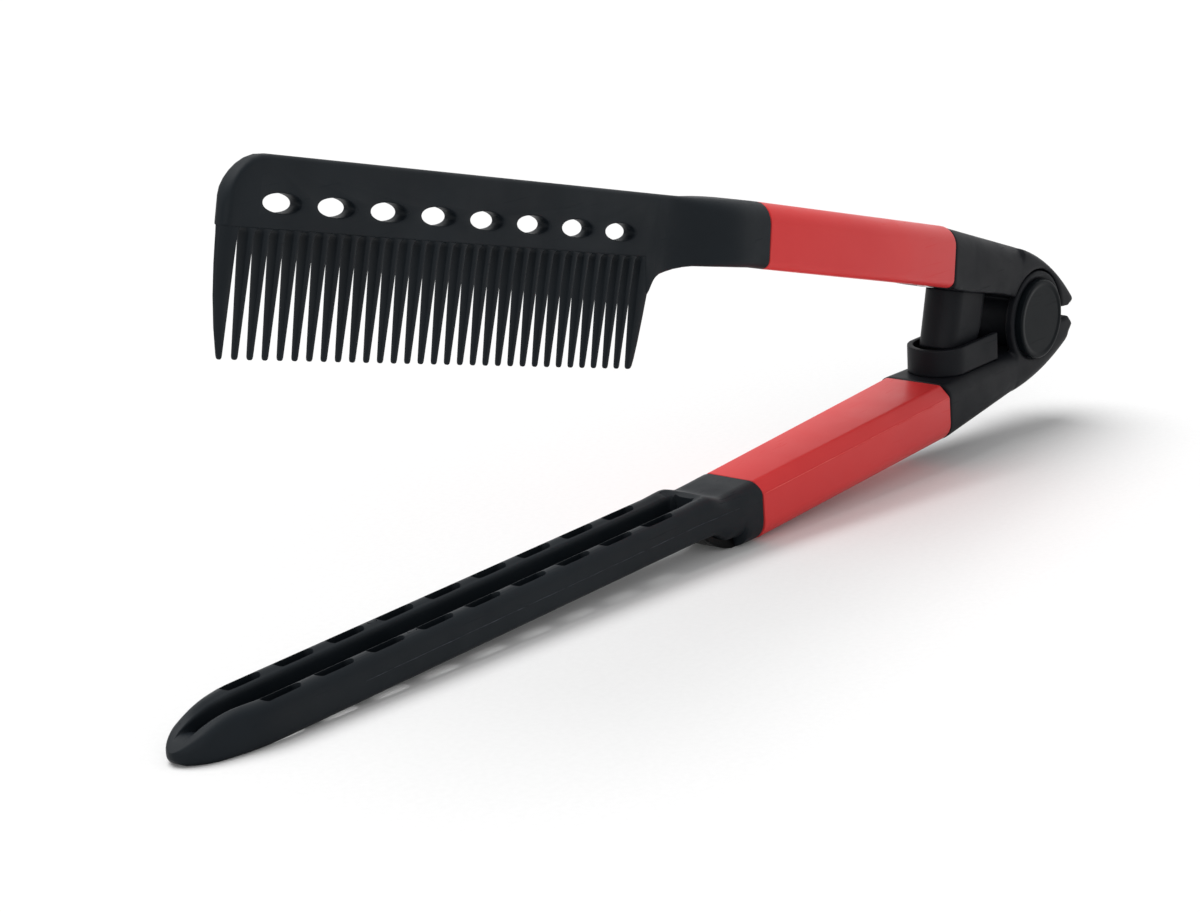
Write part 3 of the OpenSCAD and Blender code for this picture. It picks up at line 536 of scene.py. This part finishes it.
def onRim(edge):
    # an edge of an air hole on one of the blade's two faces
    if any(abs(abs(v.co.y) - comb["thickness"] / 2) > airHole["near"] for v in edge.verts):
        return False
    spot = middle(edge)
    for i in range(airHole["count"]):
        x, y, z = holeCenter(i)
        dx, dz = (spot.x - x) / (airHole["length"] / 2), (spot.z - z) / (airHole["height"] / 2)
        if dx * dx + dz * dz < airHole["within"]:
            return True
    return False


def buildComb():
    body = loft("combBody", withStub([combRing(r) for r in combReaches]))
    for i in range(airHole["count"]):
        deselect()
        bpy.ops.mesh.primitive_cylinder_add(vertices=airHole["sides"], radius=1, depth=airHole["depth"],
                                            rotation=(math.radians(90), 0, 0), location=holeCenter(i))
        tool = bpy.context.object
        tool.scale = (airHole["length"] / 2, airHole["height"] / 2, 1)
        cut(body, settle(tool))
    found = pick(body, "edges", onRim)
    bpy.ops.mesh.bevel(offset=airHole["rim"], segments=airHole["rimSteps"], affect="EDGES")
    done()
    print("comb blade cut, rim edges", found)
    return joinAll([body] + [buildTooth(i) for i in range(teeth["count"])])


# the teeth: the first and the last are wide guard teeth, back = at the grip, front = at the free end

teeth = dict(start=128.8, pitch=3.2, count=32, root=5.5, length=18.7, rootWidth=1.3, tipWidth=0.8, rootDepth=2.75,
             tipDepth=0.8, bladeDepth=2.94, bladeRun=0.7, tipEnd=0.03, tipShare=0.45, power=0.42, sides=12,
             steps=[0, 0.006, 0.015, 0.03, 0.1, 0.25, 0.5, 0.75, 0.9, 1.0, 1.35, 1.6, 1.8, 1.92, 2.0])
guard = dict(front=2.0, back=2.3, bow=2.6, power=0.8)


def toothRing(t, back, front, center):
    # t runs from the tip, 0, to the root, 1, and on into the blade
    up = min(t, 1.0)
    height = teeth["root"] - teeth["length"] * (1 - up) + max(0.0, t - 1.0)
    width = mix((teeth["tipWidth"], teeth["rootWidth"]), up)
    depth = mix((teeth["tipDepth"], teeth["rootDepth"]), up)
    # a guard tooth keeps its full width and then curves in to its tip
    bow = 1 - (1 - up) ** guard["bow"] if front else math.sqrt(up)
    a, b = width / 2 + back * bow, width / 2 + front * bow
    if t > 1:
        gap = (teeth["pitch"] - teeth["rootWidth"]) / 2
        flare = teeth["pitch"] / 2 - math.sqrt(max(0.0, gap ** 2 - (t - 1) ** 2))
        a, b = (a if back else flare), (b if front else flare)
        depth += (teeth["bladeDepth"] - depth) * min(1.0, (t - 1) / teeth["bladeRun"])
    if t < teeth["tipEnd"]:
        curve = math.sqrt(max(0.0, 1 - (1 - t / teeth["tipEnd"]) ** 2))
        shrink = mix((teeth["tipShare"], 1), curve)
        a, b, depth = a * shrink, b * shrink, depth * shrink
    # flat sides and round edges
    power, points = guard["power"] if front else teeth["power"], []
    for i in range(teeth["sides"]):
        turn = math.tau * (i + 0.5) / teeth["sides"]
        c, s = math.cos(turn), math.sin(turn)
        x = math.copysign(abs(c) ** power, c) * (b if c > 0 else a)
        points.append((-center - x, math.copysign(abs(s) ** power, s) * depth / 2, height))
    return points


def buildTooth(i):
    back = guard["back"] if i == 0 else 0.0
    front = guard["front"] if i == teeth["count"] - 1 else 0.0
    center = teeth["start"] + i * teeth["pitch"]
    return loft("tooth", [toothRing(t, back, front, center) for t in teeth["steps"]])


combPiece = buildComb()
place(combPiece, "combArm", "comb_arm", "black_jaw", jawPlastic, "comb")
print("comb done,", len(combPiece.data.polygons), "faces")


# the jaw: a lofted channel with two round crests, which swells into the block at its grip; pairs run from the block
# to the channel

jaw = dict(end=241.2, half=6.5, blockHalf=7.4, swellStart=98.4, swell=22, blendStart=104, blend=10, crest=-7.35,
           crestSide=4.4, crestMost=0.68, crestDrop=0.8, lowEdge=(4.0, 1.6), highEdge=(2.2, 1.95), bevelPower=1.6,
           hump=-7.15, humpStart=108.6, humpRise=5.2, humpTop=113.8, humpFall=6, fallStart=229.2, fallRun=12,
           fall=4.15)
nose = dict(start=222.2, least=0.0004, soleStart=235.7, soleRun=5.5, soleTop=-12.3, soleRise=2.2, side=3.75,
            reach=234.5, perReach=0.287, height=-8.3, perHeight=0.379, narrow=0.12, narrowShare=0.3)
groove = dict(start=115.6, startSlope=1.02, endStart=231.5, endRun=8.2,
              sides=(4.2, 3.95, 3.7, 3.4, 3.15, 2.95, 2.76, 2.62, 2.52, 2.46, 2.38, 2.15, 1.2))
grooveProfile = [(0, -12.45), (1.9, -12.35), (2.25, -12.1), (2.36, -11.4), (2.42, -9.9), (2.47, -9.1), (2.54, -8.5),
                 (2.66, -8.1), (2.86, -7.9), (3.1, -7.8), (3.4, -7.68), (3.7, -7.55), (4.05, -7.42), (4.4, -7.35),
                 (20, -7.35)]
jawLow = [(99, -19.4), (104.0, -19.4), (104.35, -18.9), (104.8, -17.5), (105.6, -17.32), (107.6, -17.15),
          (108.6, -16.8), (110.2, -15.75), (111.4, -15.0), (112.6, -14.6), (113.6, -14.5), (250, -14.5)]
jawReaches = [99.55, 99.7, 101, 102.5, 104, 104.35, 104.8, 105.6, 106.6, 107.6, 108.6, 109.4, 110.2, 110.8, 111.2,
              111.6, 112, 112.4, 112.8, 113.2, 113.6, 114, 114.4, 114.8, 115.2, 115.6, 117, 119, 121, 140, 160, 180,
              200, 215, 222, 224, 226, 228, 229.2, 230.4, 231.6, 232.8, 233.8, 234.8, 235.6, 236.4, 237.2, 237.9,
              238.6, 239.2, 239.7, 240.1, 240.5, 240.8, 241.0, 241.12, 241.18]
slots = dict(start=127.5, pitch=11.8, count=9, side=4.35, length=7.9, width=2.1, depth=30.0, sides=24, mouth=-8.55,
             mouthHigh=1.2, mouthLong=0.7, flare=0.06)
sinkMark = dict(reach=191.9, length=1.7, width=0.7, depth=0.35)
footPocket = dict(size=(12.54, 8.04, 6), place=(-106.85, 0, -16.9))
gripLine = dict(start=36.4, height=-5.3, slope=0.04191)


def jawHalf(reach):
    return jaw["half"] + (jaw["blockHalf"] - jaw["half"]) * (1 - ease((reach - jaw["swellStart"]) / jaw["swell"]))


def jawTop(reach):
    # the grip's slope at the block, a low hump behind the channel, then the level crest and its fall to the nose
    grip = gripLine["height"] - gripLine["slope"] * (min(reach, jaw["humpTop"]) - gripLine["start"])
    rise = ease((reach - jaw["humpStart"]) / jaw["humpRise"])
    top = grip * (1 - rise) + jaw["hump"] * rise
    top += (jaw["crest"] - jaw["hump"]) * ease((reach - jaw["humpTop"]) / jaw["humpFall"])
    falling = max(0.0, (reach - jaw["fallStart"]) / jaw["fallRun"])
    return top - jaw["fall"] * falling ** 2


def jawRing(reach):
    toJaw = ease((reach - jaw["blendStart"]) / jaw["blend"])
    half = jawHalf(reach)
    toTip = (reach - nose["start"]) / (jaw["end"] - nose["start"])
    if toTip > 0:
        half *= math.sqrt(max(nose["least"], 1 - toTip ** 2))
    bottom = between(reach, jawLow)
    if reach > nose["soleStart"]:
        along = (reach - nose["soleStart"]) / nose["soleRun"]
        bottom = nose["soleTop"] - nose["soleRise"] * math.sqrt(max(0.0, 1 - along ** 2))
    top = jawTop(reach)

    def outer(y, z):
        # the nose's upper sides lean inward
        if toTip <= 0:
            return y
        lean = nose["perReach"] * (reach - nose["reach"]) + nose["perHeight"] * (z - nose["height"])
        return min(y, max(nose["narrow"] + nose["narrowShare"] * half, nose["side"] - lean))

    crestSide = min(jaw["crestSide"], jaw["crestMost"] * outer(half, top - jaw["crestDrop"]))
    low = min(mix(jaw["lowEdge"], toJaw), half * 0.7, (top - bottom) * 0.4)
    right = [(half - low + low * math.sin(math.radians(a)), bottom + low - low * math.cos(math.radians(a)))
             for a in range(0, 91, 15)]
    wall = right[-1][1]
    shoulder = top - min(mix(jaw["highEdge"], toJaw), (top - bottom - low) * 0.6)
    right += [(outer(half, z), z) for z in (mix((wall, shoulder), 0.35), mix((wall, shoulder), 0.7), shoulder)]
    start = right[-1][0]
    for a in range(15, 91, 15):
        # an arc at the jaw, a bevel with soft corners at the block
        t, turn = a / 90, math.radians(a)
        inward = math.cos(turn) * toJaw + (1 - t ** jaw["bevelPower"]) * (1 - toJaw)
        up = math.sin(turn) * toJaw + (1 - (1 - t) ** jaw["bevelPower"]) * (1 - toJaw)
        right.append((crestSide + (start - crestSide) * inward, shoulder + (top - shoulder) * up))
    grow = crestSide / jaw["crestSide"]
    runOut = ease((reach - groove["endStart"]) / groove["endRun"])
    for d in groove["sides"]:
        y = d * grow
        before = groove["start"] - reach
        if before > 0:
            d = math.hypot(d, before * groove["startSlope"])
        depth = (jaw["crest"] - between(d, grooveProfile)) * (1 - runOut) * grow ** 0.5
        if before <= 0:
            right.append((y, top - depth))
        elif d < jaw["crestSide"]:
            right.append((y, min(top, jaw["crest"] - depth)))
        else:
            right.append((y, top))
    left = [(-y, z) for y, z in reversed(right[1:])]
    return [(-reach, y, z) for y, z in right + left]


def slotCutter(reach, side, length, width, depth):
    # a round-ended slot with a flared mouth
    deselect()
    bpy.ops.mesh.primitive_cylinder_add(vertices=slots["sides"], radius=width / 2, depth=1)
    tool = bpy.context.object
    for way in (-1, 1):
        pick(tool, "verts", lambda v: v.co.x * way > 0.01)
        bpy.ops.transform.translate(value=(way * (length - width) / 2, 0, 0))
    pick(tool, "verts", lambda v: v.co.z < 0)
    bpy.ops.transform.translate(value=(0, 0, -depth))
    pick(tool, "faces", lambda f: f.normal.z > 0.9)
    bpy.ops.transform.translate(value=(0, 0, slots["mouth"]))
    bpy.ops.mesh.extrude_region_move(TRANSFORM_OT_translate={"value": (0, 0, slots["mouthHigh"])})
    wider = ((length + slots["mouthLong"]) / length, (width + slots["flare"] * 2) / width, 1)
    bpy.ops.transform.resize(value=wider)
    bpy.ops.mesh.select_all(action="SELECT")
    bpy.ops.mesh.normals_make_consistent(inside=False)
    done()
    tool.location = (-reach, side, 0)
    return settle(tool)


def buildJaw():
    body = loft("jawBody", withStub([jawRing(r) for r in jawReaches]))
    cutters = []
    for i in range(slots["count"]):
        for side in (-slots["side"], slots["side"]):
            cutters.append(slotCutter(slots["start"] + i * slots["pitch"], side, slots["length"], slots["width"],
                                      slots["depth"]))
    # small sink marks between two of the slots
    for side in (-slots["side"], slots["side"]):
        cutters.append(slotCutter(sinkMark["reach"], side, sinkMark["length"], sinkMark["width"], sinkMark["depth"]))
    cut(body, joinAll(cutters))
    deselect()
    bpy.ops.mesh.primitive_cube_add(size=1)
    pocket = bpy.context.object
    pocket.scale = footPocket["size"]
    pocket.location = footPocket["place"]
    cut(body, settle(pocket))
    return body


jawPiece = buildJaw()
place(jawPiece, "jawShell", "jaw_arm", "black_jaw", jawPlastic, "lower_jaw", smooth=35)


# fine mould lines, which stand a little proud of the walls; their lighter colour is a painted highlight along them

bead = dict(proud=0.03, inset=0.08, edge=0.45, ends=0.3, ripple=0.25, rippleStep=2.3)
partingLine = dict(start=106.3, step=2.42, count=42, height=-10.92, drift=0.03, driftStep=1.7, high=0.07)


def buildBead(name, points, slot, material, high):
    # points are [reach, side, height]
    last = len(points) - 1
    rings = []
    for i, (reach, y, z) in enumerate(points):
        share = bead["ends"] if i in (0, last) else 1.0
        out = math.copysign(1, y)
        h = high * share * (1 - bead["ripple"] + bead["ripple"] * math.sin(i * bead["rippleStep"]))
        inner, outer = y - out * bead["inset"], y + out * bead["proud"] * share
        rings.append([(-reach, inner, z - h), (-reach, outer, z - h * bead["edge"]),
                      (-reach, outer, z + h * bead["edge"]), (-reach, inner, z + h)])
    return place(loft(name, rings), name, "jaw_arm", slot, material)


for side, name in ((-1, "nearPartingLine"), (1, "farPartingLine")):
    path = []
    for i in range(partingLine["count"]):
        reach = partingLine["start"] + i * partingLine["step"]
        height = partingLine["height"] + partingLine["drift"] * math.sin(i * partingLine["driftStep"])
        path.append((reach, side * jawHalf(reach), height))
    buildBead(name, path, "black_jaw", partingHighlightPlastic, partingLine["high"])
print("jaw done,", len(jawPiece.data.polygons), "faces")


# both grips are tapered boxes, rounded along their length

upperGrip = dict(length=63.0, seam=0.15, backHalf=8.5, frontHalf=7.4, height=12.0, base=0.0, lean=1.0, lip=0.22,
                 topEdge=3.8, topSteps=8, softBand=0.0, lowEdge=1.8, place=(-36.4, 0, 5.0), slope=0.9)
lowerGrip = dict(length=63.0, seam=0.15, backHalf=8.5, frontHalf=7.4, height=11.6, base=-11.6, lean=0.0, lip=0.22,
                 topEdge=2.2, topSteps=1, softBand=0.45, lowEdge=4.0, place=(-36.4, 0, -5.3), slope=-2.4)
gripSteps = dict(low=6, soft=3, lip=3)
gripHighlightLine = dict(start=0.3, step=2.95, count=22, drop=2.32, slope=0.04188, high=0.09)


def buildGrip(grip):
    base, center = grip["base"], grip["base"] + grip["height"] / 2
    long = grip["length"]
    deselect()
    bpy.ops.mesh.primitive_cube_add(size=1)
    piece = bpy.context.object
    bpy.ops.object.mode_set(mode="EDIT")
    bpy.ops.transform.resize(value=(long - 2 * grip["seam"], 2 * grip["backHalf"], grip["height"]))
    bpy.ops.transform.translate(value=(-long / 2, 0, center))
    pick(piece, "verts", lambda v: v.co.x < -long / 2)
    bpy.ops.transform.resize(value=(1, grip["frontHalf"] / grip["backHalf"], 1), center_override=(0, 0, 0))
    pick(piece, "verts", lambda v: v.co.z > center)
    bpy.ops.transform.resize(value=(1, 1 - grip["lean"] / grip["backHalf"], 1), center_override=(0, 0, 0))

    def along(edge):
        return abs(edge.verts[0].co.x - edge.verts[1].co.x) > long / 2

    def atEnd(edge):
        return all(abs(v.co.x + long / 2) > long / 2 - grip["seam"] - 0.01 for v in edge.verts)

    pick(piece, "edges", lambda e: along(e) and middle(e).z > center)
    bpy.ops.mesh.bevel(offset=grip["topEdge"], segments=grip["topSteps"], affect="EDGES")
    pick(piece, "edges", lambda e: along(e) and middle(e).z < base + 0.01)
    bpy.ops.mesh.bevel(offset=grip["lowEdge"], segments=gripSteps["low"], affect="EDGES")
    if grip["softBand"]:
        pick(piece, "edges", lambda e: along(e) and middle(e).z > base + grip["height"] - grip["topEdge"] - 0.05)
        bpy.ops.mesh.bevel(offset=grip["softBand"], segments=gripSteps["soft"], affect="EDGES")
    pick(piece, "edges", lambda e: atEnd(e) and not along(e))
    bpy.ops.mesh.bevel(offset=grip["lip"], segments=gripSteps["lip"], affect="EDGES")
    done()
    piece.matrix_world = Matrix.Translation(grip["place"]) @ Matrix.Rotation(math.radians(grip["slope"]), 4, "Y")
    return settle(piece)


place(buildGrip(upperGrip), "upperGripShell", "comb_arm", "red_grip", redPlastic, "upper_grip")
place(buildGrip(lowerGrip), "lowerGripShell", "jaw_arm", "red_grip", redPlastic, "lower_grip")
# lighter red lines just below the lower grip's top bevel: a painted highlight along that edge
for side, name in ((-1, "nearGripLine"), (1, "farGripLine")):
    path = []
    for i in range(gripHighlightLine["count"]):
        u = gripHighlightLine["start"] + i * gripHighlightLine["step"]
        half = mix((lowerGrip["backHalf"], lowerGrip["frontHalf"]), u / lowerGrip["length"])
        reach = -lowerGrip["place"][0] + u * math.cos(math.radians(lowerGrip["slope"]))
        height = lowerGrip["place"][2] - u * gripHighlightLine["slope"] - gripHighlightLine["drop"]
        path.append((reach, side * half, height))
    buildBead(name, path, "red_grip", gripHighlightPlastic, gripHighlightLine["high"])
print("grips done")


# hinge casings, spring guard and foot: their solids with the corners softened

softParts = [
    dict(node="upper_casing", name="upperCasingShell", body="comb_arm", slot="black_plastic", voxel=0.32, rounds=10),
    dict(node="lower_casing", name="lowerCasingShell", body="jaw_arm", slot="black_plastic", voxel=0.32, rounds=10),
    dict(node="spring_cup", name="springCupShell", body="jaw_arm", slot="black_plastic", voxel=0.22, rounds=4),
    dict(node="spring_post", name="springPostShell", body="comb_arm", slot="black_plastic", voxel=0.22, rounds=4),
    dict(node="rest_foot", name="restFootPad", body="jaw_arm", slot="foot_rubber", voxel=0.2, rounds=4),
]
crown = dict(half=8.5, lean=1.0, low=4.5, high=17.0, reach=8, run=20)


def narrowCrown(piece):
    # the upper casing leans in towards its top, as the grip beside it does
    for v in piece.data.vertices:
        up = min(1.0, max(0.0, (v.co.z - crown["low"]) / (crown["high"] - crown["low"])))
        toGrip = min(1.0, max(0.0, (-v.co.x - crown["reach"]) / crown["run"]))
        v.co.y *= 1 - crown["lean"] / crown["half"] * up * toGrip


for part in softParts:
    piece = softCopy(part["node"], part["body"], part["voxel"], part["rounds"])
    if part["node"] == "upper_casing":
        narrowCrown(piece)
    place(piece, part["name"], part["body"], part["slot"], bySlot[part["slot"]], part["node"])
print("casings, guard and foot done")


# pivot caps: bare round buttons in their seats, slightly dished

pivotCap = dict(radius=8.2, base=6.7, height=1.7, sides=128, rim=0.4, rimSteps=4, dishRadius=7.3, dish=0.12,
                dishStep=0.18, dishRing=0.5)


def buildCap(side):
    face = pivotCap["base"] + pivotCap["height"]
    deselect()
    bpy.ops.mesh.primitive_cylinder_add(vertices=pivotCap["sides"], radius=pivotCap["radius"],
                                        depth=pivotCap["height"], rotation=(math.radians(90), 0, 0),
                                        location=(0, side * (pivotCap["base"] + pivotCap["height"] / 2), 0))
    piece = settle(bpy.context.object)
    pick(piece, "edges", lambda e: all(abs(v.co.y * side - face) < 0.01 for v in e.verts))
    bpy.ops.mesh.bevel(offset=pivotCap["rim"], segments=pivotCap["rimSteps"], affect="EDGES")
    pick(piece, "faces", lambda f: len(f.verts) > pivotCap["sides"] / 2 and middle(f).y * side > face - 0.01)
    bpy.ops.mesh.inset(thickness=pivotCap["radius"] - pivotCap["rim"] - pivotCap["dishRadius"])
    bpy.ops.mesh.inset(thickness=pivotCap["dishStep"])
    bpy.ops.transform.translate(value=(0, -side * pivotCap["dish"], 0))
    bpy.ops.mesh.inset(thickness=pivotCap["dishRing"])
    done()
    return piece


place(buildCap(-1), "nearCap", "jaw_arm", "cap_plastic", capPlastic, "near_pivot_cap")
place(buildCap(1), "farCap", "jaw_arm", "cap_plastic", capPlastic, "far_pivot_cap")
print("caps done")


# return spring: a helix of round wire, built here at one length; the real spring shortens as the arms close

spring = dict(radius=2.6, wire=0.7, wireSides=12, turns=7, steps=36, foot=(-22.8, -7.08), head=(-21.4754, 7.80),
              keep=0.65)


def buildSpring():
    deselect()
    start = Vector((spring["foot"][0], 0, spring["foot"][1]))
    lean = Vector((spring["head"][0] - spring["foot"][0], 0, spring["head"][1] - spring["foot"][1]))
    bpy.ops.mesh.primitive_circle_add(vertices=spring["wireSides"], radius=spring["wire"] / 2,
                                      rotation=(math.radians(90), 0, 0),
                                      location=(spring["radius"] - spring["wire"] / 2, 0, 0))
    coil = settle(bpy.context.object)
    addModifier(coil, "SCREW", axis="Z", angle=math.tau, screw_offset=lean.length / spring["turns"],
                iterations=spring["turns"], steps=spring["steps"], render_steps=spring["steps"])
    work(coil)
    bpy.ops.object.mode_set(mode="EDIT")
    bpy.ops.mesh.select_all(action="SELECT")
    bpy.ops.mesh.remove_doubles(threshold=0.0005)
    bpy.ops.mesh.fill_holes(sides=0)
    done()
    upright = lean.to_track_quat("Z", "Y").to_matrix().to_4x4()
    coil.matrix_world = Matrix.Translation(start) @ upright
    settle(coil)
    place(coil, "springCoil", "jaw_arm", "spring_steel", springSteel, "return_spring", smooth=60)
    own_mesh(coil)


buildSpring()
print("spring done")
